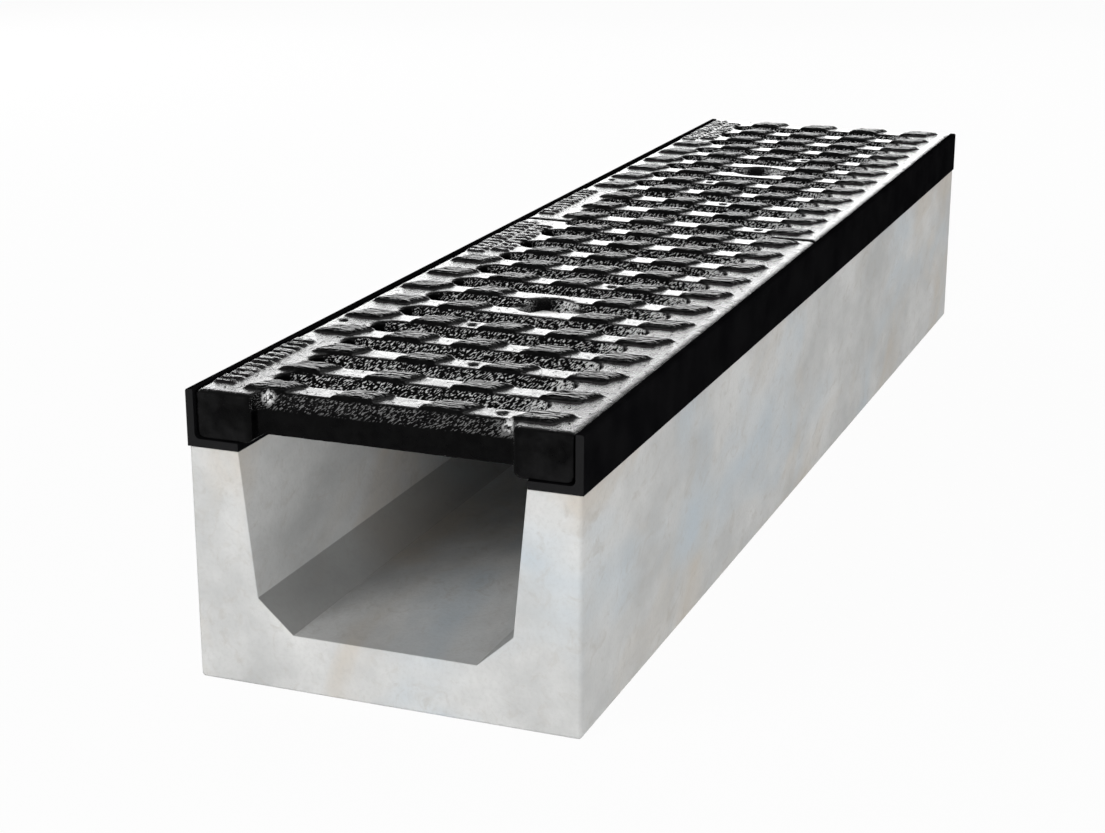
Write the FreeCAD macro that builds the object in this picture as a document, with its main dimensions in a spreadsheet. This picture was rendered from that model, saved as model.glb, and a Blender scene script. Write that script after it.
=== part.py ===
import FreeCAD, Part
import math
import os
import Sketcher

# Concrete drainage channel, one metre long, with iron edge rails and two bolted slotted grates.
# X runs across the channel, Y along it, Z up. The origin is the middle of the underside.
# All sizes are in millimetres, angles in degrees.
SIZES = {
    "channel_length": 1000,
    "overall_width": 240,
    # Concrete trough
    "concrete_height": 142,
    "floor_thickness": 35,
    "floor_width": 114,
    "haunch_top": 55,
    "haunch_width": 158,
    "opening_width": 175,
    "arris": 1.5,
    # Edge rails
    "rail_height": 34,
    "rail_leg": 5,
    "rail_flange": 5,
    "rail_proud": 1,
    "rail_inner_round": 3,
    "rail_outer_round": 1.5,
    "lug_count": 4,
    "lug_pitch": 260,
    "lug_inset": 16,
    "lug_thickness": 8,
    "lug_depth": 40,
    "lug_neck": 24,
    "lug_tail": 36,
    # Grates
    "grate_end_gap": 1,
    "grate_side_gap": 1,
    "bar_depth": 25,
    "foot_overhang": 5,
    "foot_slope": 6,
    "foot_round": 4,
    "slot_length": 168,
    "slot_width": 20.5,
    "slot_round": 9.5,
    "mouth_slope": 2,
    "mouth_depth": 8,
    "edge_bevel": 2,
    "recess_length": 158,
    "recess_round": 5,
    # Rows of bars: end rows beside the marking strips, inner rows, two rows at the bolt cup
    "end_rows": 3,
    "inner_rows": 2,
    # Anti-slip studs
    "stud_height": 2.6,
    "stud_length": 25.5,
    "stud_width": 18,
    "stud_lean": 9,
    "stud_draft": 15,
    "left_inset": 21,
    "right_inset": 25,
    "front_strip": 41,
    "rear_strip": 59,
    # Bolt cup
    "cup_wall": 8,
    "cup_width": 38,
    "cup_floor": 29,
    "cup_depth": 16,
    "cup_base": 11,
    "cup_rim_drop": 4,
    # Fasteners
    "bolt_size": 12,
    "bolt_length": 45,
    "bolt_clearance": 1.5,
    "bolt_end_chamfer": 1.5,
    "hex_flats": 18,
    "head_height": 7.5,
    "washer_width": 24,
    "washer_thickness": 2.5,
    "nut_height": 10.8,
    "thread_clearance": 0.2,
    # Cross bars under the grates
    "cross_bar_width": 30,
    "cross_bar_thickness": 10,
    "cross_bar_bearing": 10,
    "notch_length": 100,
    "notch_height": 24,
    "notch_clearance": 4,
}

# Sizes that follow from the ones above
DERIVED = {
    "bar_count": "=2 * (end_rows + inner_rows + 1)",
    "slot_count": "=bar_count - 1",
    "bar_pitch": "=channel_length / 2 / bar_count",
    "front_start": "=bar_pitch * 0.5",
    "inner_front_start": "=bar_pitch * (end_rows + 0.5)",
    "cup_start": "=bar_pitch * (end_rows + inner_rows + 0.5)",
    "inner_rear_start": "=bar_pitch * (end_rows + inner_rows + 2.5)",
    "rear_start": "=bar_pitch * (end_rows + 2 * inner_rows + 2.5)",
    "lug_span": "=lug_pitch * (lug_count - 1)",
}

STUDS_PER_ROW = 5
STUDS_BESIDE_STRIP = 4
END_NAMES = {"front": -1, "rear": 1}
SIDE_NAMES = {"left": -1, "right": 1}

# A size is a sum of sheet values, written as {sheet name: factor}.
HALF_WIDTH = {"overall_width": 0.5}
HALF_CONCRETE = {"overall_width": 0.5, "rail_proud": -1}
HALF_OPENING = {"opening_width": 0.5}
RAIL_TOP = {"concrete_height": 1, "rail_height": 1}
CUP_FLOOR_LEVEL = {**RAIL_TOP, "cup_depth": -1}
FOOT_DEPTH = {"rail_height": 1, "rail_flange": -1}
HALF_GRATE = {"overall_width": 0.5, "rail_leg": -1, "grate_side_gap": -1}
HALF_MODULE = {"channel_length": 0.25}

doc = FreeCAD.newDocument("drainage_channel")
sheet = doc.addObject("Spreadsheet::Sheet", "sizes")


def fill_sheet():
    for row, (name, content) in enumerate({**SIZES, **DERIVED}.items(), start=1):
        sheet.set(f"A{row}", name)
        sheet.setAlias(f"B{row}", name)
        sheet.set(f"B{row}", str(content))
    doc.recompute()


def scaled(size, factor):
    return {name: factor * part for name, part in size.items()}


def plus(*sizes):
    total = {}
    for size in sizes:
        for name, part in size.items():
            total[name] = total.get(name, 0) + part
    return total


def value(size):
    return sum(part * sheet.get(name) for name, part in size.items())


def formula(size):
    return " + ".join(f"({part!r}) * sizes.{name}" for name, part in size.items())


def bind(thing, prop, size):
    thing.setExpression(prop, formula(size))


def origin_feature(body, role):
    return next(item for item in body.Origin.OriginFeatures if item.Role == role)


def new_body(label, y=None, z=None):
    body = doc.addObject("PartDesign::Body", label)
    body.Label = label
    if y:
        bind(body, "Placement.Base.y", y)
    if z:
        bind(body, "Placement.Base.z", z)
    return body


def new_sketch(body, name, plane, offset=None):
    sketch = body.newObject("Sketcher::SketchObject", name)
    sketch.AttachmentSupport = (origin_feature(body, plane), [""])
    sketch.MapMode = "FlatFace"
    if offset:
        bind(sketch, "AttachmentOffset.Base.z", offset)
    return sketch


def fix_point(sketch, edge, end, x, y):
    """Hold one end of a sketch edge at the sizes x and y from the sketch origin."""
    for kind, size, axis in (("DistanceX", x, -2), ("DistanceY", y, -1)):
        if size:
            index = sketch.addConstraint(Sketcher.Constraint(kind, -1, 1, edge, end, value(size)))
            bind(sketch, f"Constraints[{index}]", size)
        else:
            sketch.addConstraint(Sketcher.Constraint("PointOnObject", edge, end, axis))


def draw_polygon(sketch, corners):
    points = [FreeCAD.Vector(value(x), value(y), 0) for x, y in corners]
    count = len(points)
    edges = [sketch.addGeometry(Part.LineSegment(points[i], points[(i + 1) % count])) for i in range(count)]
    for i in range(count):
        sketch.addConstraint(Sketcher.Constraint("Coincident", edges[i], 2, edges[(i + 1) % count], 1))
    for edge, (x, y) in zip(edges, corners):
        fix_point(sketch, edge, 1, x, y)


def draw_rectangle(sketch, half_x, half_y, middle_y=None):
    middle = middle_y or {}
    low = plus(middle, scaled(half_y, -1))
    high = plus(middle, half_y)
    left = scaled(half_x, -1)
    draw_polygon(sketch, [(left, low), (half_x, low), (half_x, high), (left, high)])


def draw_circle(sketch, diameter):
    circle = Part.Circle(FreeCAD.Vector(), FreeCAD.Vector(0, 0, 1), value(diameter) / 2)
    edge = sketch.addGeometry(circle)
    sketch.addConstraint(Sketcher.Constraint("Coincident", edge, 3, -1, 1))
    index = sketch.addConstraint(Sketcher.Constraint("Diameter", edge, value(diameter)))
    bind(sketch, f"Constraints[{index}]", diameter)


def draw_hexagon(sketch, flats):
    half = scaled(flats, 0.5)
    point = scaled(flats, 1 / math.sqrt(3))
    shoulder = scaled(point, 0.5)
    draw_polygon(sketch, [
        (point, {}), (shoulder, half), (scaled(shoulder, -1), half),
        (scaled(point, -1), {}), (scaled(shoulder, -1), scaled(half, -1)), (shoulder, scaled(half, -1)),
    ])


def draw_slot(sketch, half_x, half_y, radius, middle_y):
    """Draw a rectangle with rounded corners, level with middle_y."""
    quarter = math.pi / 2
    inner_x = plus(half_x, scaled(radius, -1))
    inner_y = plus(half_y, scaled(radius, -1))
    sides = []
    arcs = []
    for turn, (sx, sy) in enumerate(((1, 1), (-1, 1), (-1, -1), (1, -1))):
        centre = FreeCAD.Vector(sx * value(inner_x), value(middle_y) + sy * value(inner_y), 0)
        circle = Part.Circle(centre, FreeCAD.Vector(0, 0, 1), value(radius))
        arcs.append(sketch.addGeometry(Part.ArcOfCircle(circle, turn * quarter, (turn + 1) * quarter)))
        index = sketch.addConstraint(Sketcher.Constraint("Radius", arcs[-1], value(radius)))
        bind(sketch, f"Constraints[{index}]", radius)
        on_end = (scaled(half_x, sx), plus(middle_y, scaled(inner_y, sy)))
        on_side = (scaled(inner_x, sx), plus(middle_y, scaled(half_y, sy)))
        first, second = (on_end, on_side) if sx == sy else (on_side, on_end)
        sides.append((first, second))
    for turn in range(4):
        start = sides[turn][1]
        finish = sides[(turn + 1) % 4][0]
        line = Part.LineSegment(FreeCAD.Vector(value(start[0]), value(start[1]), 0),
                                FreeCAD.Vector(value(finish[0]), value(finish[1]), 0))
        edge = sketch.addGeometry(line)
        fix_point(sketch, edge, 1, *start)
        fix_point(sketch, edge, 2, *finish)
        sketch.addConstraint(Sketcher.Constraint("Coincident", arcs[turn], 2, edge, 1))
        sketch.addConstraint(Sketcher.Constraint("Coincident", arcs[(turn + 1) % 4], 1, edge, 2))


def pad(body, name, sketch, length, symmetric=False, downward=False, draft=None):
    feature = body.newObject("PartDesign::Pad", name)
    feature.Profile = sketch
    bind(feature, "Length", length)
    feature.SideType = "Symmetric" if symmetric else "One side"
    feature.Reversed = downward
    if draft:
        bind(feature, "TaperAngle", draft)
    return feature


def pocket(body, name, sketch, depth=None):
    feature = body.newObject("PartDesign::Pocket", name)
    feature.Profile = sketch
    if depth:
        bind(feature, "Length", depth)
    else:
        feature.Type = "ThroughAll"
    return feature


def repeat_along(body, features, count, pitch):
    """Repeat features along the channel."""
    pattern = body.newObject("PartDesign::LinearPattern", features[-1].Name + "_row")
    pattern.Originals = features
    pattern.Direction = (origin_feature(body, "Y_Axis"), [""])
    pattern.Mode = "Spacing"
    pattern.setExpression("Occurrences", count)
    bind(pattern, "Offset", pitch)
    body.Tip = pattern


def find_edges(body, test):
    """Name the edges of the body's last feature whose points all pass a test in body coordinates."""
    doc.recompute()
    found = []
    for index, edge in enumerate(body.Tip.Shape.Edges, start=1):
        points = edge.discretize(3)
        if test(points):
            found.append(f"Edge{index}")
    return found


def round_edges(body, name, radius, test):
    base = (body.Tip, find_edges(body, test))
    feature = body.newObject("PartDesign::Fillet", name)
    feature.Base = base
    bind(feature, "Radius", radius)


def chamfer_edges(body, name, size, test):
    base = (body.Tip, find_edges(body, test))
    feature = body.newObject("PartDesign::Chamfer", name)
    feature.Base = base
    bind(feature, "Size", size)


def near(number, target):
    return abs(number - target) < 1e-4


def make_trough():
    body = new_body("trough")
    section = new_sketch(body, "trough_section", "XZ_Plane")
    right = [
        (HALF_CONCRETE, {}),
        (HALF_CONCRETE, {"concrete_height": 1}),
        (HALF_OPENING, {"concrete_height": 1}),
        ({"haunch_width": 0.5}, {"haunch_top": 1}),
        ({"floor_width": 0.5}, {"floor_thickness": 1}),
    ]
    left = [(scaled(x, -1), z) for x, z in reversed(right)]
    draw_polygon(section, right + left)
    pad(body, "trough_pad", section, {"channel_length": 1}, symmetric=True)

    # Each notch lets a cross bar swing in below the rail flanges.
    notch = new_sketch(body, "notch_plan", "XY_Plane", {"concrete_height": 1})
    half_notch = plus(HALF_OPENING, {"cross_bar_bearing": 1, "notch_clearance": 1})
    draw_rectangle(notch, half_notch, {"notch_length": 0.5}, scaled(HALF_MODULE, -1))
    notch_pocket = pocket(body, "notch", notch, {"notch_height": 1})
    repeat_along(body, [notch_pocket], "2", scaled(HALF_MODULE, 2))

    half_length = sheet.get("channel_length") / 2
    half_width = value(HALF_CONCRETE)

    def on_outer_corner(points):
        at_end = all(near(abs(p.y), half_length) for p in points)
        at_side = all(near(abs(p.x), half_width) for p in points)
        at_bottom = all(near(p.z, 0) for p in points)
        return at_end + at_side + at_bottom == 2

    chamfer_edges(body, "arrises", {"arris": 1}, on_outer_corner)
    return body


def make_rail(side_name, side):
    body = new_body(f"edge_rail_{side_name}")
    section = new_sketch(body, f"rail_section_{side_name}", "XZ_Plane")
    bottom = {"concrete_height": 1}
    seat = {"concrete_height": 1, "rail_flange": 1}
    outer = scaled(HALF_WIDTH, side)
    leg_face = scaled(plus(HALF_WIDTH, {"rail_leg": -1}), side)
    flange_end = scaled(HALF_OPENING, side)
    draw_polygon(section, [
        (outer, bottom), (outer, RAIL_TOP), (leg_face, RAIL_TOP),
        (leg_face, seat), (flange_end, seat), (flange_end, bottom),
    ])
    pad(body, f"rail_{side_name}", section, {"channel_length": 1}, symmetric=True)

    def along(x, z):
        return lambda points: all(near(p.x, x) and near(p.z, z) for p in points)

    round_edges(body, f"rail_inner_{side_name}", {"rail_inner_round": 1}, along(value(leg_face), value(seat)))
    round_edges(body, f"rail_outer_{side_name}", {"rail_outer_round": 1}, along(value(outer), value(RAIL_TOP)))

    # Dovetail lugs below the flange are cast into the wall.
    lug_plane = scaled(plus(HALF_WIDTH, {"lug_inset": -1}), side)
    lug = new_sketch(body, f"lug_section_{side_name}", "YZ_Plane", lug_plane)
    first = {"lug_span": -0.5}
    tip = {"concrete_height": 1, "lug_depth": -1}
    draw_polygon(lug, [
        (plus(first, {"lug_neck": -0.5}), bottom), (plus(first, {"lug_tail": -0.5}), tip),
        (plus(first, {"lug_tail": 0.5}), tip), (plus(first, {"lug_neck": 0.5}), bottom),
    ])
    lug_pad = pad(body, f"lug_{side_name}", lug, {"lug_thickness": 1}, symmetric=True)
    repeat_along(body, [lug_pad], "sizes.lug_count", {"lug_pitch": 1})
    return body


def add_stud_row(body, name, start, bars, columns):
    """Add slanted studs in columns across the first bar, and repeat them on the bars behind it."""
    middle = plus(scaled(HALF_MODULE, -1), start)
    plan = new_sketch(body, name + "_plan", "XY_Plane", {"edge_bevel": -1})
    near_edge = plus(middle, {"stud_width": -0.5})
    far_edge = plus(middle, {"stud_width": 0.5})
    for column in columns:
        draw_polygon(plan, [
            (plus(column, {"stud_length": -0.5, "stud_lean": -0.5}), near_edge),
            (plus(column, {"stud_length": 0.5, "stud_lean": -0.5}), near_edge),
            (plus(column, {"stud_length": 0.5, "stud_lean": 0.5}), far_edge),
            (plus(column, {"stud_length": -0.5, "stud_lean": 0.5}), far_edge),
        ])
    rise = {"edge_bevel": 1, "stud_height": 1}
    studs = pad(body, name, plan, rise, draft={"stud_draft": -1})
    repeat_along(body, [studs], bars, {"bar_pitch": 1})


def stud_columns(left_inset, count, skipped=()):
    """Spread stud middles evenly between an inset on the left and the fixed inset on the right."""
    left = plus(scaled(HALF_GRATE, -1), left_inset)
    right = plus(HALF_GRATE, {"right_inset": -1})
    share = [index / (count - 1) for index in range(count) if index not in skipped]
    return [plus(scaled(left, 1 - part), scaled(right, part)) for part in share]


def add_studs(body, name):
    full = stud_columns({"left_inset": 1}, STUDS_PER_ROW)
    beside_cup = stud_columns({"left_inset": 1}, STUDS_PER_ROW, skipped=[STUDS_PER_ROW // 2])
    rows = [
        ("front", "sizes.end_rows", stud_columns({"front_strip": 1}, STUDS_BESIDE_STRIP)),
        ("inner_front", "sizes.inner_rows", full),
        ("cup", "2", beside_cup),
        ("inner_rear", "sizes.inner_rows", full),
        ("rear", "sizes.end_rows", stud_columns({"rear_strip": 1}, STUDS_BESIDE_STRIP)),
    ]
    for row, bars, columns in rows:
        add_stud_row(body, f"studs_{row}_{name}", {row + "_start": 1}, bars, columns)


def add_bolt_cup(body, name):
    """Add a round cup in the middle slot, hollowed out of both bars beside it, with a bolt hole in its floor.

    In the slot the rim of the cup lies a little below the tops of the bars.
    """
    outer = new_sketch(body, f"cup_plan_{name}", "XY_Plane", {"cup_rim_drop": -1})
    draw_circle(outer, {"cup_width": 1, "cup_wall": 2})
    pad(body, f"cup_{name}", outer, {"cup_depth": 1, "cup_base": 1, "cup_rim_drop": -1}, downward=True)

    bowl = new_sketch(body, f"bowl_section_{name}", "XZ_Plane")
    floor = {"cup_depth": -1}
    draw_polygon(bowl, [
        ({}, {}), ({"cup_width": 0.5, "edge_bevel": 1}, {}), ({"cup_width": 0.5}, {"edge_bevel": -1}),
        ({"cup_floor": 0.5}, floor), ({}, floor),
    ])
    groove = body.newObject("PartDesign::Groove", f"bowl_{name}")
    groove.Profile = bowl
    groove.ReferenceAxis = (bowl, ["V_Axis"])

    hole = new_sketch(body, f"bolt_hole_plan_{name}", "XY_Plane")
    draw_circle(hole, {"bolt_size": 1, "bolt_clearance": 1})
    pocket(body, f"bolt_hole_{name}", hole)


def cut_mouth(body, name, half_x, half_y, middle_y):
    """Cut the sloped upper part of a slot's walls. On the upright plane, local Y is up and local Z is -Y."""
    mouth = body.newObject("PartDesign::SubtractiveWedge", name)
    mouth.AttachmentSupport = (origin_feature(body, "XZ_Plane"), [""])
    mouth.MapMode = "FlatFace"
    slope = {"mouth_slope": 1}
    bind(mouth, "Ymin", {"mouth_depth": -1})
    mouth.Ymax = 0
    for side, sign in (("min", -1), ("max", 1)):
        edge_x = scaled(half_x, sign)
        edge_z = plus(scaled(middle_y, -1), scaled(half_y, sign))
        bind(mouth, "X" + side, edge_x)
        bind(mouth, "Z" + side, edge_z)
        bind(mouth, "X2" + side, plus(edge_x, scaled(slope, sign)))
        bind(mouth, "Z2" + side, plus(edge_z, scaled(slope, sign)))
    return mouth


def cut_slot(body, name, length, corner, middle_y):
    """Cut one slot with round corners, its long walls sloped at the mouth."""
    half_length = {length: 0.5}
    half_width = {"slot_width": 0.5}
    mouth = cut_mouth(body, "mouth_of_" + name, plus(half_length, {corner: -1}), half_width, middle_y)
    plan = new_sketch(body, name + "_plan", "XY_Plane")
    draw_slot(plan, half_length, half_width, {corner: 1}, middle_y)
    return [mouth, pocket(body, name, plan)]


def cut_slots(body, name):
    """Cut the slots between the bars, and a shorter half slot open at each end of the grate."""
    near_end = scaled(HALF_MODULE, -1)
    recess = cut_slot(body, f"end_recess_{name}", "recess_length", "recess_round", near_end)
    repeat_along(body, recess, "2", scaled(HALF_MODULE, 2))
    slot = cut_slot(body, f"slot_{name}", "slot_length", "slot_round", plus(near_end, {"bar_pitch": 1}))
    repeat_along(body, slot, "sizes.slot_count", {"bar_pitch": 1})


def make_grate(name, end):
    """Make one grate casting. Its own origin is the middle of the flat top of its bars."""
    body = new_body(f"grate_{name}", scaled(HALF_MODULE, end), RAIL_TOP)
    section = new_sketch(body, f"grate_section_{name}", "XZ_Plane")
    foot_edge = plus(HALF_OPENING, {"foot_overhang": -1})
    web_edge = plus(foot_edge, {"foot_slope": -1})
    right = [
        (HALF_GRATE, {}),
        (HALF_GRATE, scaled(FOOT_DEPTH, -1)),
        (foot_edge, scaled(FOOT_DEPTH, -1)),
        (web_edge, {"bar_depth": -1}),
    ]
    left = [(scaled(x, -1), z) for x, z in reversed(right)]
    draw_polygon(section, right + left)
    length = plus(scaled(HALF_MODULE, 2), {"grate_end_gap": -2})
    pad(body, f"casting_{name}", section, length, symmetric=True)

    half_width = value(HALF_GRATE)
    foot_level = -value(FOOT_DEPTH)

    def on_foot_heel(points):
        return all(near(abs(p.x), half_width) and near(p.z, foot_level) for p in points)

    round_edges(body, f"heels_{name}", {"foot_round": 1}, on_foot_heel)
    chamfer_edges(body, f"rim_{name}", {"edge_bevel": 1}, lambda points: all(near(p.z, 0) for p in points))
    cut_slots(body, name)
    add_bolt_cup(body, name)
    add_studs(body, name)
    return body


def make_cross_bar(name, end):
    body = new_body(f"cross_bar_{name}", scaled(HALF_MODULE, end), {"concrete_height": 1})
    plan = new_sketch(body, f"cross_bar_plan_{name}", "XY_Plane")
    draw_rectangle(plan, plus(HALF_OPENING, {"cross_bar_bearing": 1}), {"cross_bar_width": 0.5})
    pad(body, f"cross_bar_pad_{name}", plan, {"cross_bar_thickness": 1}, downward=True)
    hole = new_sketch(body, f"cross_bar_hole_plan_{name}", "XY_Plane")
    draw_circle(hole, {"bolt_size": 1, "bolt_clearance": 1})
    pocket(body, f"cross_bar_hole_{name}", hole)
    return body


def make_bolt(name, end):
    body = new_body(f"bolt_{name}", scaled(HALF_MODULE, end), plus(CUP_FLOOR_LEVEL, {"washer_thickness": 1}))
    head = new_sketch(body, f"head_plan_{name}", "XY_Plane")
    draw_hexagon(head, {"hex_flats": 1})
    pad(body, f"head_{name}", head, {"head_height": 1})
    shank = new_sketch(body, f"shank_plan_{name}", "XY_Plane")
    draw_circle(shank, {"bolt_size": 1})
    pad(body, f"shank_{name}", shank, {"bolt_length": 1}, downward=True)
    tip = -sheet.get("bolt_length")
    chamfer_edges(body, f"tip_{name}", {"bolt_end_chamfer": 1}, lambda points: all(near(p.z, tip) for p in points))
    return body


def make_washer(name, end):
    body = new_body(f"washer_{name}", scaled(HALF_MODULE, end), CUP_FLOOR_LEVEL)
    ring = new_sketch(body, f"washer_plan_{name}", "XY_Plane")
    draw_circle(ring, {"washer_width": 1})
    draw_circle(ring, {"bolt_size": 1, "bolt_clearance": 0.5})
    pad(body, f"washer_pad_{name}", ring, {"washer_thickness": 1})
    return body


def make_nut(name, end):
    level = {"concrete_height": 1, "cross_bar_thickness": -1}
    body = new_body(f"nut_{name}", scaled(HALF_MODULE, end), level)
    plan = new_sketch(body, f"nut_plan_{name}", "XY_Plane")
    draw_hexagon(plan, {"hex_flats": 1})
    draw_circle(plan, {"bolt_size": 1, "thread_clearance": 1})
    pad(body, f"nut_pad_{name}", plan, {"nut_height": 1}, downward=True)
    return body


def gather(label, make):
    """Make one fastener for each grate and join them as one group of separate solids."""
    group = doc.addObject("Part::Compound", label)
    group.Label = label
    group.Links = [make(name, end) for name, end in END_NAMES.items()]
    return group


def bed_rails(trough, rails):
    """Take the rails and their lugs out of the concrete, so that they lie in it without a gap."""
    bedded = trough
    for rail in rails:
        cut = doc.addObject("Part::Cut", "bed_of_" + rail.Label)
        cut.Base = bedded
        cut.Tool = rail
        bedded = cut
    bedded.Label = "channel_body"
    return bedded


def check_document():
    doc.recompute()
    for item in doc.Objects:
        if "Invalid" in item.State or "Error" in item.State:
            raise RuntimeError(f"{item.Label} did not build: {item.State}")


def export(parts):
    os.makedirs("parts", exist_ok=True)
    for part in parts:
        shape = part.Shape
        if shape.isNull() or not shape.isValid():
            raise RuntimeError(f"{part.Label} has no valid shape")
        shape.exportStep(f"parts/{part.Label}.step")
        print(part.Label, len(shape.Solids), "solids", round(shape.Volume), "mm3", shape.BoundBox)


fill_sheet()
rails = [make_rail(name, side) for name, side in SIDE_NAMES.items()]
channel = bed_rails(make_trough(), rails)
grates = [make_grate(name, end) for name, end in END_NAMES.items()]
cross_bars = [make_cross_bar(name, end) for name, end in END_NAMES.items()]
fasteners = [gather("lock_bolts", make_bolt), gather("washers", make_washer), gather("nuts", make_nut)]
check_document()
export([channel] + rails + grates + cross_bars + fasteners)
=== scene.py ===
import bpy
import math
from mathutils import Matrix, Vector


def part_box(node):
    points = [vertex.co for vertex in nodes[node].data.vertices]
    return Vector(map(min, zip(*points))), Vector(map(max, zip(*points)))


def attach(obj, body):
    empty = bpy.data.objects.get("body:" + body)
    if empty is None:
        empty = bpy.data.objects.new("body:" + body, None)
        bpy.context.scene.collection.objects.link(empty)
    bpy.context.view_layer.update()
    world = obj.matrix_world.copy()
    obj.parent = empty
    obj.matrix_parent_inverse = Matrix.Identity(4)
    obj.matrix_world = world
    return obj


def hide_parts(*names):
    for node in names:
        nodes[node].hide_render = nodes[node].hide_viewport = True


# One metre of concrete drainage channel with black iron edge rails and two slotted iron grates.
# Lengths are in metres: X across the channel, Y along it, Z up from the underside.

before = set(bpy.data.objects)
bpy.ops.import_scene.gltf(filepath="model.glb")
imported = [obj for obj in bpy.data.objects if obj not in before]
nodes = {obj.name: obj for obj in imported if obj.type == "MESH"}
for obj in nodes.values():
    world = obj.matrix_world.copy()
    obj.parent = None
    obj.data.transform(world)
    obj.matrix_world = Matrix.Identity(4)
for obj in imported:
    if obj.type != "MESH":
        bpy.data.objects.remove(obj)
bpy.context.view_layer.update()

# Places on the front grate, taken from its CAD solid
grate_low, grate_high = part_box("grate_front")
module_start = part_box("channel_body")[0].y
MODULE = -module_start
BAR_COUNT = 12
BAR_PITCH = MODULE / BAR_COUNT
STUD_HEIGHT = 0.0026
FLAT_TOP = grate_high.z - STUD_HEIGHT

# Casting skin of the grates: fineness, faint sag all over and lumps on the studs
SKIN_VOXEL = 0.0012
SKIN_TRIANGLES = 190000
SAG_SIZE = 0.009
SAG_DEPTH = 0.0004
LUMP_SIZE = 0.004
LUMP_DEPTH = 0.0009

# Softened edges
CONCRETE_EDGE = 0.0006
RAIL_EDGE = 0.0004
BAR_EDGE = 0.0005
FASTENER_EDGE = 0.0003

# Small round casting pits: place across the grate and distance from its near end
PIT_RADIUS = 0.0036
PITS = (
    (0.065, 0.5 * BAR_PITCH),
    (0.012, 2.5 * BAR_PITCH),
    (-0.025, 4.5 * BAR_PITCH),
    (0.023, 7.5 * BAR_PITCH),
    (-0.105, 4.05 * BAR_PITCH),
)

# Plain raised dashes of uneven size along the left margin.
# Each row has one or two dashes: offset from the strip's edge, width and depth.
# Each strip has its distance from the grate's edge, its distance from the near end and its number of rows.
DASH_HEIGHT = 0.0034
DASH_PITCH = 0.0086
DASH_ROWS = (
    ((0.0, 0.0120, 0.0030),),
    ((0.0, 0.0045, 0.0060), (0.0070, 0.0055, 0.0035)),
    ((0.0010, 0.0040, 0.0040), (0.0075, 0.0045, 0.0065)),
    ((0.0005, 0.0115, 0.0055),),
    ((0.0, 0.0025, 0.0070), (0.0045, 0.0075, 0.0030)),
)
DASH_STRIPS = (
    (0.0030, 0.020, 12),
    (0.0030, 0.380, 13),
    (0.0185, 0.388, 11),
)

# Part of the slot walls that has rough relief and painted pale glints: height band and reach to either side
# of the middle
GRAIN_AND_GLINT_LOW = FLAT_TOP - 0.0095
GRAIN_AND_GLINT_HIGH = FLAT_TOP - 0.0010
GRAIN_AND_GLINT_REACH = 0.080

# Where the slots end on the right, the feet begin and the finely grained margins begin, as soft borders
SLOT_END = (0.062, 0.070)
FOOT_START = (0.080, 0.084)
MARGIN_START = (0.082, 0.090)

# Bolt cup in the middle of each grate
CUP_PLACE = (0, 0.5 * MODULE, FLAT_TOP)
CUP_RADIUS = 0.019

# Painted highlight where the front bar runs into each foot, at either end of the channel
GLINT_CORNER = (0.073, 0.4885, FLAT_TOP - 0.0035)
GLINT_SIZE = 0.0052

# Thin black coating: deep black seen head on, shiny only at a low angle
COATING_IOR = 1.12
STUD_ROUGHNESS = 0.38

# Share of the floor's white that hides its shadow, the even light from all round, and where reflections aim
FLOOR_WHITE = 0.96
AMBIENT = 0.12
GRATE_MIDDLE = (0, 0, 0.17)

# Camera at the photograph's viewing angle
CAMERA_PLACE = (0.4899, -1.4949, 0.516)
CAMERA_TURN = 21.29
CAMERA_DIP = 17.25
CAMERA_LENS = 69.35


def select_only(piece):
    if bpy.context.object and bpy.context.object.mode != "OBJECT":
        bpy.ops.object.mode_set(mode="OBJECT")
    bpy.ops.object.select_all(action="DESELECT")
    piece.select_set(True)
    bpy.context.view_layer.objects.active = piece


def copy_of_node(node_name, piece_name):
    """Copy a CAD node's mesh as a piece of its own, with its loose triangles joined."""
    select_only(nodes[node_name])
    bpy.ops.object.duplicate()
    piece = bpy.context.object
    piece.name = piece_name
    piece.data.name = piece_name
    bpy.ops.object.mode_set(mode="EDIT")
    bpy.ops.mesh.select_all(action="SELECT")
    bpy.ops.mesh.remove_doubles(threshold=0.00001)
    bpy.ops.object.mode_set(mode="OBJECT")
    return piece


def apply_modifier(piece, kind, **settings):
    select_only(piece)
    modifier = piece.modifiers.new(kind.lower(), kind)
    for name, setting in settings.items():
        setattr(modifier, name, setting)
    bpy.ops.object.modifier_apply(modifier=modifier.name)


def join_into(piece, others):
    select_only(piece)
    for other in others:
        other.select_set(True)
    bpy.ops.object.join()


def stand_for(piece, node_name, material):
    piece.data.materials.clear()
    piece.data.materials.append(material)
    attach(piece, "root")
    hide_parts(node_name)


def new_material(name):
    material = bpy.data.materials.new(name)
    material.use_nodes = True
    tree = material.node_tree
    return material, tree, tree.nodes["Principled BSDF"]


def add_node(tree, kind, **inputs):
    node = tree.nodes.new(kind)
    for name, setting in inputs.items():
        node.inputs[name.replace("_", " ")].default_value = setting
    return node


def object_place(tree, stretch=(1, 1, 1), turn=(0, 0, 0)):
    """Give object coordinates in which a pattern is stretched and then turned."""
    place = tree.nodes.new("ShaderNodeTexCoord").outputs["Object"]
    mapping = add_node(tree, "ShaderNodeMapping", Scale=stretch, Rotation=turn)
    mapping.vector_type = "TEXTURE"
    tree.links.new(place, mapping.inputs["Vector"])
    return mapping.outputs["Vector"]


def noise(tree, place, scale, detail=3.0, roughness=0.55, distortion=0.0):
    node = add_node(tree, "ShaderNodeTexNoise", Scale=scale, Detail=detail, Roughness=roughness,
                    Distortion=distortion)
    tree.links.new(place, node.inputs["Vector"])
    return node.outputs["Fac"]


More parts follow.
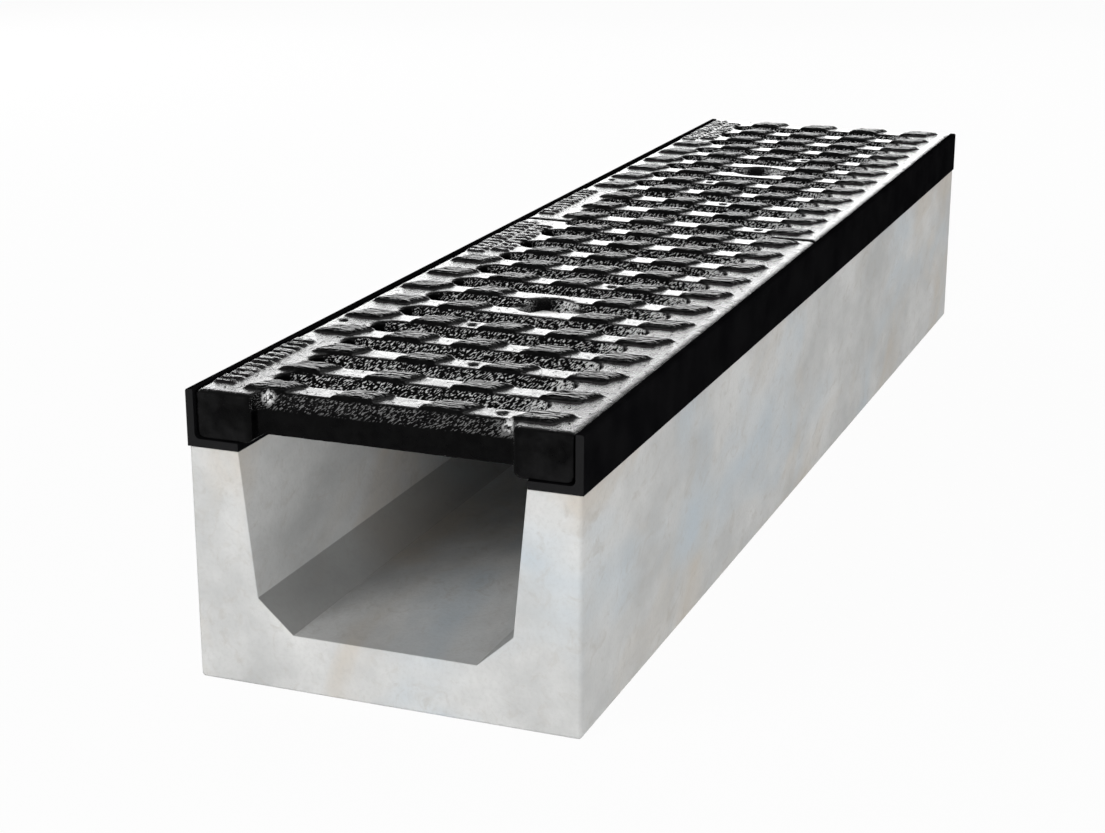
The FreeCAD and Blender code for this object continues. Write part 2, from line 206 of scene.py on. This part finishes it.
def span(tree, source, low, high, to_low=0.0, to_high=1.0):
    """Map the range low to high of a value onto another range, held at both ends."""
    node = add_node(tree, "ShaderNodeMapRange", From_Min=low, From_Max=high, To_Min=to_low, To_Max=to_high)
    tree.links.new(source, node.inputs["Value"])
    return node.outputs["Result"]


def blend(tree, factor, first, second, how="MIX"):
    node = tree.nodes.new("ShaderNodeMix")
    node.data_type = "RGBA"
    node.blend_type = how
    for socket, source in ((node.inputs[0], factor), (node.inputs[6], first), (node.inputs[7], second)):
        if isinstance(source, bpy.types.NodeSocket):
            tree.links.new(source, socket)
        else:
            socket.default_value = source if isinstance(source, float) else (*source, 1)
    return node.outputs[2]


def axis_of(tree, vector, axis):
    node = tree.nodes.new("ShaderNodeSeparateXYZ")
    tree.links.new(vector, node.inputs["Vector"])
    return node.outputs[axis]


def combine(tree, how, first, second):
    node = tree.nodes.new("ShaderNodeMath")
    node.operation = how
    tree.links.new(first, node.inputs[0])
    tree.links.new(second, node.inputs[1])
    return node.outputs["Value"]


def multiply(tree, first, second):
    return combine(tree, "MULTIPLY", first, second)


def mirrored(tree, place):
    """Fold the four quarters of the plan onto one another."""
    node = tree.nodes.new("ShaderNodeVectorMath")
    node.operation = "ABSOLUTE"
    tree.links.new(place, node.inputs[0])
    return node.outputs["Vector"]


def distance_from(tree, place, point):
    node = tree.nodes.new("ShaderNodeVectorMath")
    node.operation = "DISTANCE"
    node.inputs[1].default_value = point
    tree.links.new(place, node.inputs[0])
    return node.outputs["Value"]


def bump(tree, height, strength, distance, normal=None):
    node = add_node(tree, "ShaderNodeBump", Distance=distance)
    tree.links.new(height, node.inputs["Height"])
    if isinstance(strength, bpy.types.NodeSocket):
        tree.links.new(strength, node.inputs["Strength"])
    else:
        node.inputs["Strength"].default_value = strength
    if normal:
        tree.links.new(normal, node.inputs["Normal"])
    return node.outputs["Normal"]


def make_concrete():
    """Smooth cast concrete: light grey with soft beige and cool clouds.

    It has faint trowel wrinkles and fine grain, and painted shade makes it darker on the sloped sides of the
    floor.
    """
    material, tree, shader = new_material("smooth_cast_concrete")
    place = object_place(tree)
    along = object_place(tree, stretch=(1, 1.8, 1))
    across = object_place(tree, stretch=(1, 1.8, 1), turn=(0.4, 0.3, 0.2))
    tone = span(tree, noise(tree, along, 15.0, detail=5.0, roughness=0.6), 0.35, 0.65)
    tone = blend(tree, tone, (0.50, 0.505, 0.50), (0.68, 0.68, 0.67))
    warm = span(tree, noise(tree, across, 11.0, detail=4.0, distortion=0.6), 0.50, 0.68, 0.0, 0.8)
    tone = blend(tree, warm, tone, (0.57, 0.525, 0.465))
    cool = span(tree, noise(tree, along, 8.0, distortion=0.4), 0.52, 0.68, 0.0, 0.8)
    tone = blend(tree, cool, tone, (0.52, 0.585, 0.635))
    wrinkle = noise(tree, across, 85.0, detail=5.0, roughness=0.65, distortion=1.2)
    tone = blend(tree, span(tree, wrinkle, 0.54, 0.70, 0.0, 0.4), tone, (0.45, 0.425, 0.39))
    specks = noise(tree, place, 420.0, detail=4.0, roughness=0.6)
    tone = blend(tree, span(tree, specks, 0.36, 0.52, 0.16, 0.0), tone, (0.42, 0.42, 0.41))
    # Painted shade: the sloped sides of the floor get a darker colour
    facing = tree.nodes.new("ShaderNodeNewGeometry").outputs["Normal"]
    slope = multiply(tree, axis_of(tree, mirrored(tree, facing), "X"), axis_of(tree, facing, "Z"))
    tone = blend(tree, span(tree, slope, 0.25, 0.4, 0.0, 0.55), tone, (0.20, 0.20, 0.195))
    tree.links.new(tone, shader.inputs["Base Color"])
    shader.inputs["Roughness"].default_value = 0.85
    shader.inputs["Specular IOR Level"].default_value = 0.1
    wavy = bump(tree, wrinkle, 0.2, 0.0012)
    tree.links.new(bump(tree, specks, 0.2, 0.0005, wavy), shader.inputs["Normal"])
    return material


def upper_slot_walls(tree, place, facing):
    """Mark the upper part of the slot walls, which has rough relief and painted pale glints."""
    level = axis_of(tree, place, "Z")
    from_middle = axis_of(tree, mirrored(tree, place), "X")
    wall = span(tree, axis_of(tree, facing, "Z"), 0.93, 0.6)
    wall = multiply(tree, wall, span(tree, level, GRAIN_AND_GLINT_LOW - 0.001, GRAIN_AND_GLINT_LOW + 0.001))
    wall = multiply(tree, wall, span(tree, level, GRAIN_AND_GLINT_HIGH + 0.0005, GRAIN_AND_GLINT_HIGH - 0.0005))
    return multiply(tree, wall, span(tree, from_middle, GRAIN_AND_GLINT_REACH, 0.98 * GRAIN_AND_GLINT_REACH))


def painted_glints(tree, place, streaks, wall):
    """Paint pale glints into the colour of the slot walls and of the corners where the front bar meets the
    feet.

    It is denser at the right ends of the slots and on the sides of the bolt cups.
    It is faint at the outer ends of the channel.
    """
    quarter = mirrored(tree, place)
    across = axis_of(tree, place, "X")
    cup = span(tree, distance_from(tree, quarter, CUP_PLACE), 1.25 * CUP_RADIUS, 1.15 * CUP_RADIUS)
    cup_side = combine(tree, "MAXIMUM", span(tree, across, -0.2 * CUP_RADIUS, 0.3 * CUP_RADIUS),
                       span(tree, across, -0.6 * CUP_RADIUS, -1.0 * CUP_RADIUS))
    dense = combine(tree, "MAXIMUM", span(tree, across, *SLOT_END), multiply(tree, cup, cup_side))
    # Painted highlights: pale glint specks on the upper slot walls, denser at the right slot ends and on the
    # cup sides
    specks = combine(tree, "ADD", streaks, span(tree, dense, 0.0, 1.0, 0.0, 0.15))
    specks = multiply(tree, span(tree, specks, 0.60, 0.64), wall)
    cup_core = combine(tree, "SUBTRACT", cup, cup_side)
    specks = multiply(tree, specks, span(tree, cup_core, 0.0, 1.0, 1.0, 0.0))
    outer_end = span(tree, axis_of(tree, quarter, "Y"), 0.965 * MODULE, 0.975 * MODULE, 1.0, 0.15)
    specks = multiply(tree, specks, outer_end)
    # Painted highlight at the corners where the front bar meets the feet
    corner_glint = span(tree, distance_from(tree, quarter, GLINT_CORNER), GLINT_SIZE, 0.3 * GLINT_SIZE)
    corner_glint = multiply(tree, corner_glint, span(tree, noise(tree, place, 480.0), 0.45, 0.51))
    return combine(tree, "MAXIMUM", specks, corner_glint)


def make_grate_iron():
    """Glossy black coating on rough-cast iron, with mottled studs, pale glints painted on the slot walls and
    a grey sheen painted on the foot ends.
    """
    material, tree, shader = new_material("black_rough_cast_iron")
    place = object_place(tree)
    facing = tree.nodes.new("ShaderNodeNewGeometry").outputs["Normal"]
    from_middle = axis_of(tree, mirrored(tree, place), "X")
    level = axis_of(tree, place, "Z")
    wall = upper_slot_walls(tree, place, facing)
    streaks = noise(tree, object_place(tree, stretch=(1, 1, 4.0), turn=(0, 0.92, 0)), 1600.0, detail=0.0)
    tone = span(tree, noise(tree, place, 160.0), 0.35, 0.65)
    black = blend(tree, tone, (0.0006, 0.0006, 0.0007), (0.0022, 0.0022, 0.0023))
    # Painted sheen: soft grey clouds on the end faces of the feet
    end_face = span(tree, axis_of(tree, mirrored(tree, facing), "Y"), 0.7, 0.95)
    foot_end = multiply(tree, end_face, span(tree, from_middle, *FOOT_START))
    painted_sheen = multiply(tree, foot_end, span(tree, noise(tree, place, 70.0), 0.40, 0.68))
    black = blend(tree, painted_sheen, black, (0.008, 0.008, 0.0083))
    # Painted highlights: pale glints mixed into the base colour of the slot walls and foot corners
    pale = painted_glints(tree, place, streaks, wall)
    tree.links.new(blend(tree, pale, black, (0.90, 0.90, 0.90)), shader.inputs["Base Color"])
    stud = span(tree, level, FLAT_TOP + 0.4 * STUD_HEIGHT, FLAT_TOP + 0.7 * STUD_HEIGHT)
    polish = span(tree, noise(tree, place, 300.0), 0.35, 0.65, 0.12, 0.26)
    rough = combine(tree, "MAXIMUM", polish, span(tree, stud, 0.0, 1.0, 0.0, STUD_ROUGHNESS))
    tree.links.new(rough, shader.inputs["Roughness"])
    shader.inputs["IOR"].default_value = COATING_IOR
    fine = noise(tree, place, 900.0, detail=3.0, roughness=0.65)
    normal = bump(tree, fine, span(tree, from_middle, *MARGIN_START, 0.3, 0.6), 0.0004)
    pores = noise(tree, object_place(tree, stretch=(1, 2.2, 1)), 330.0, detail=0.0)
    upward = span(tree, axis_of(tree, facing, "Z"), 0.7, 0.9)
    normal = bump(tree, span(tree, pores, 0.62, 0.66, 1.0, 0.0), upward, 0.004, normal)
    mottle = noise(tree, object_place(tree, stretch=(4.0, 1, 1)), 420.0, detail=1.0)
    normal = bump(tree, mottle, stud, 0.012, normal)
    normal = bump(tree, streaks, wall, 0.001, normal)
    tree.links.new(normal, shader.inputs["Normal"])
    return material


def make_rail_iron():
    """Smooth matt black coating, with a lighter grey painted on the end faces for the light that falls on
    them.
    """
    material, tree, shader = new_material("matt_black_rail")
    place = object_place(tree)
    facing = tree.nodes.new("ShaderNodeNewGeometry").outputs["Normal"]
    # Painted light: faces that point along the channel get a lighter grey than the sides
    end = span(tree, axis_of(tree, mirrored(tree, facing), "Y"), 0.7, 0.95)
    tone = span(tree, noise(tree, place, 35.0), 0.35, 0.65)
    black = blend(tree, tone, (0.0035, 0.0035, 0.004), (0.006, 0.006, 0.0065))
    tree.links.new(blend(tree, end, black, (0.015, 0.015, 0.0155)), shader.inputs["Base Color"])
    shader.inputs["Roughness"].default_value = 0.6
    shader.inputs["Specular IOR Level"].default_value = 0.0
    tree.links.new(bump(tree, noise(tree, place, 500.0), 0.2, 0.0003), shader.inputs["Normal"])
    return material


def make_zinc_steel():
    """Dull zinc plating gone dark."""
    material, tree, shader = new_material("dull_zinc_steel")
    place = object_place(tree)
    tone = span(tree, noise(tree, place, 300.0), 0.35, 0.65)
    tree.links.new(blend(tree, tone, (0.14, 0.14, 0.14), (0.30, 0.30, 0.29)), shader.inputs["Base Color"])
    shader.inputs["Metallic"].default_value = 1.0
    shader.inputs["Roughness"].default_value = 0.5
    return material


def add_dash_strip(from_rail, from_end, rows):
    """Set rows of small raised dashes on the flat left margin of the front grate."""
    dashes = []
    for row in range(rows):
        for offset, width, depth in DASH_ROWS[row % len(DASH_ROWS)]:
            across = grate_low.x + from_rail + offset + width / 2
            middle = (across, module_start + from_end + row * DASH_PITCH, FLAT_TOP)
            bpy.ops.object.select_all(action="DESELECT")
            bpy.ops.mesh.primitive_cube_add(size=1, location=middle)
            bpy.ops.transform.resize(value=(width, depth, DASH_HEIGHT))
            bpy.ops.object.transform_apply(location=True, rotation=True, scale=True)
            dashes.append(bpy.context.object)
    join_into(dashes[0], dashes[1:])
    return dashes[0]


def sink_pits(piece):
    """Cut shallow round pits into the tops of the bars."""
    balls = []
    for across, along in PITS:
        bpy.ops.object.select_all(action="DESELECT")
        middle = (across, module_start + along, FLAT_TOP + 0.3 * PIT_RADIUS)
        bpy.ops.mesh.primitive_uv_sphere_add(segments=24, ring_count=12, radius=PIT_RADIUS, location=middle)
        bpy.ops.object.transform_apply(location=True, rotation=True, scale=True)
        balls.append(bpy.context.object)
    join_into(balls[0], balls[1:])
    apply_modifier(piece, "BOOLEAN", operation="DIFFERENCE", object=balls[0])
    select_only(balls[0])
    bpy.ops.object.delete()


def keep_inside(piece, low, high):
    """Bring points that the rough skin has pushed out back to the faces of a box."""
    for vertex in piece.data.vertices:
        for axis in range(3):
            vertex.co[axis] = min(max(vertex.co[axis], low[axis]), high[axis])


def cast_grate():
    """Give the front grate a rough casting skin: rounded edges, lumpy studs and a faintly uneven surface."""
    piece = copy_of_node("grate_front", "rough_grate_front")
    sink_pits(piece)
    join_into(piece, [add_dash_strip(*strip) for strip in DASH_STRIPS])
    apply_modifier(piece, "REMESH", mode="VOXEL", voxel_size=SKIN_VOXEL)
    apply_modifier(piece, "SMOOTH", factor=0.5, iterations=2)
    studs = piece.vertex_groups.new(name="stud_tops")
    high = [v.index for v in piece.data.vertices if v.co.z > FLAT_TOP + 0.6 * STUD_HEIGHT]
    studs.add(high, 1.0, "REPLACE")
    sag = bpy.data.textures.new("casting_sag", "CLOUDS")
    sag.noise_scale = SAG_SIZE
    lumps = bpy.data.textures.new("stud_lumps", "CLOUDS")
    lumps.noise_scale = LUMP_SIZE
    lumps.noise_depth = 1
    apply_modifier(piece, "DISPLACE", texture=sag, strength=SAG_DEPTH, mid_level=0.6)
    apply_modifier(piece, "DISPLACE", texture=lumps, strength=LUMP_DEPTH, mid_level=0.7,
                   vertex_group="stud_tops")
    triangles = 2 * len(piece.data.polygons)
    if triangles > SKIN_TRIANGLES:
        apply_modifier(piece, "DECIMATE", ratio=SKIN_TRIANGLES / triangles)
    keep_inside(piece, grate_low, grate_high)
    select_only(piece)
    bpy.ops.object.shade_smooth()
    return piece


def repeat_grate(piece):
    select_only(piece)
    bpy.ops.object.duplicate()
    copy = bpy.context.object
    copy.name = "rough_grate_rear"
    copy.data.name = "rough_grate_rear"
    bpy.ops.transform.translate(value=(0, MODULE, 0))
    bpy.ops.object.transform_apply(location=True, rotation=False, scale=False)
    return copy


def soften(node_name, piece_name, width):
    """Copy a CAD node and break its sharp edges with a small bevel."""
    piece = copy_of_node(node_name, piece_name)
    bpy.ops.object.mode_set(mode="EDIT")
    bpy.ops.mesh.select_all(action="SELECT")
    bpy.ops.mesh.dissolve_limited(angle_limit=math.radians(1))
    bpy.ops.object.mode_set(mode="OBJECT")
    sharp = math.radians(30)
    apply_modifier(piece, "BEVEL", width=width, segments=2, limit_method="ANGLE", angle_limit=sharp)
    bpy.ops.object.shade_smooth_by_angle(angle=sharp)
    return piece


def dress_object():
    rail_iron = make_rail_iron()
    zinc = make_zinc_steel()
    grate_iron = make_grate_iron()
    trough = soften("channel_body", "concrete_trough", CONCRETE_EDGE)
    stand_for(trough, "channel_body", make_concrete())
    for side in ("left", "right"):
        rail = soften(f"edge_rail_{side}", f"iron_rail_{side}", RAIL_EDGE)
        stand_for(rail, f"edge_rail_{side}", rail_iron)
    front = cast_grate()
    rear = repeat_grate(front)
    stand_for(front, "grate_front", grate_iron)
    stand_for(rear, "grate_rear", grate_iron)
    for end in ("front", "rear"):
        bar = soften(f"cross_bar_{end}", f"flat_bar_{end}", BAR_EDGE)
        stand_for(bar, f"cross_bar_{end}", rail_iron)
    for name in ("lock_bolts", "washers", "nuts"):
        stand_for(soften(name, f"zinc_{name}", FASTENER_EDGE), name, zinc)


def background_seen(tree):
    """Tell the rays that show the background: the camera's own, and those mirrored or let through."""
    rays = tree.nodes.new("ShaderNodeLightPath").outputs
    mirrored_or_through = combine(tree, "MAXIMUM", rays["Is Glossy Ray"], rays["Is Transmission Ray"])
    return combine(tree, "MAXIMUM", rays["Is Camera Ray"], mirrored_or_through)


def add_floor():
    """Lay a pale floor that shows nearly white, with a faint shadow."""
    bpy.ops.object.select_all(action="DESELECT")
    bpy.ops.mesh.primitive_plane_add(size=16, location=(0, 0, 0))
    floor = bpy.context.object
    floor.name = "studio_floor"
    material, tree, shader = new_material("pale_floor")
    shader.inputs["Base Color"].default_value = (0.82, 0.82, 0.82, 1)
    shader.inputs["Roughness"].default_value = 0.9
    white = add_node(tree, "ShaderNodeEmission", Color=(1, 1, 1, 1), Strength=1.0)
    show = tree.nodes.new("ShaderNodeMixShader")
    tree.links.new(span(tree, background_seen(tree), 0.0, 1.0, 0.0, FLOOR_WHITE), show.inputs["Fac"])
    tree.links.new(shader.outputs["BSDF"], show.inputs[1])
    tree.links.new(white.outputs["Emission"], show.inputs[2])
    tree.links.new(show.outputs["Shader"], tree.nodes["Material Output"].inputs["Surface"])
    floor.data.materials.append(material)


def light_world():
    """White as a background, also in reflections, and an even ambient level on matt surfaces."""
    world = bpy.data.worlds.new("studio")
    bpy.context.scene.world = world
    world.use_nodes = True
    tree = world.node_tree
    background = tree.nodes["Background"]
    background.inputs["Color"].default_value = (1, 1, 1, 1)
    tree.links.new(span(tree, background_seen(tree), 0.0, 1.0, AMBIENT, 1.0), background.inputs["Strength"])


def add_softbox(name, place, target, width, height, power, gloss=False):
    """Set up a softbox that either lights matt surfaces or shows in glossy ones."""
    bpy.ops.object.select_all(action="DESELECT")
    bpy.ops.object.light_add(type="AREA", location=place)
    lamp = bpy.context.object
    lamp.name = name
    lamp.data.shape = "RECTANGLE"
    lamp.data.size = width
    lamp.data.size_y = height
    lamp.data.energy = power
    aim = Vector(target) - Vector(place)
    lamp.rotation_euler = aim.to_track_quat("-Z", "Y").to_euler()
    lamp.visible_diffuse = not gloss
    lamp.visible_glossy = gloss


def add_reflection(name, place, width, height, power):
    """Hang a softbox that only shows in the glossy iron of the grates."""
    add_softbox(name, place, GRATE_MIDDLE, width, height, power, gloss=True)


def light_object():
    """Light the matt surfaces from the front and both sides, and lay reflections on the grates."""
    add_softbox("left_softbox", (-1.4, -2.6, 1.4), (0, -0.4, 0.1), 1.6, 1.2, 48)
    add_softbox("right_softbox", (2.0, -2.9, 0.28), (0, -0.4, 0.1), 1.8, 0.45, 50)
    add_softbox("side_softbox", (2.6, 1.1, 1.2), (0, 0.3, 0.1), 2.4, 1.2, 29)
    add_reflection("back_softbox_high", (-1.0, 2.6, 1.15), 3.0, 0.8, 80)
    add_reflection("back_softbox_low", (-1.0, 2.6, 0.5), 3.0, 0.5, 29)
    add_softbox("left_fill", (-2.4, 1.6, 1.0), (0, 0.2, 0.1), 1.8, 1.2, 24)
    add_reflection("front_reflection", (2.3, -2.3, 0.85), 2.0, 1.0, 22)
    add_reflection("side_reflection", (2.5, 2.2, 1.1), 2.0, 1.0, 22)
    add_reflection("left_reflection", (-2.6, 0.2, 1.0), 3.0, 1.0, 20)
    add_reflection("top_reflection", (-0.2, 0.8, 2.4), 1.8, 1.0, 24)


def add_camera():
    bpy.ops.object.camera_add(location=CAMERA_PLACE)
    camera = bpy.context.object
    camera.name = "photo_camera"
    camera.rotation_euler = (math.radians(90 - CAMERA_DIP), 0, math.radians(CAMERA_TURN))
    camera.data.sensor_width = 36
    camera.data.lens = CAMERA_LENS
    bpy.context.scene.camera = camera


dress_object()
add_floor()
light_world()
light_object()
add_camera()
bpy.context.scene.view_settings.view_transform = "Standard"
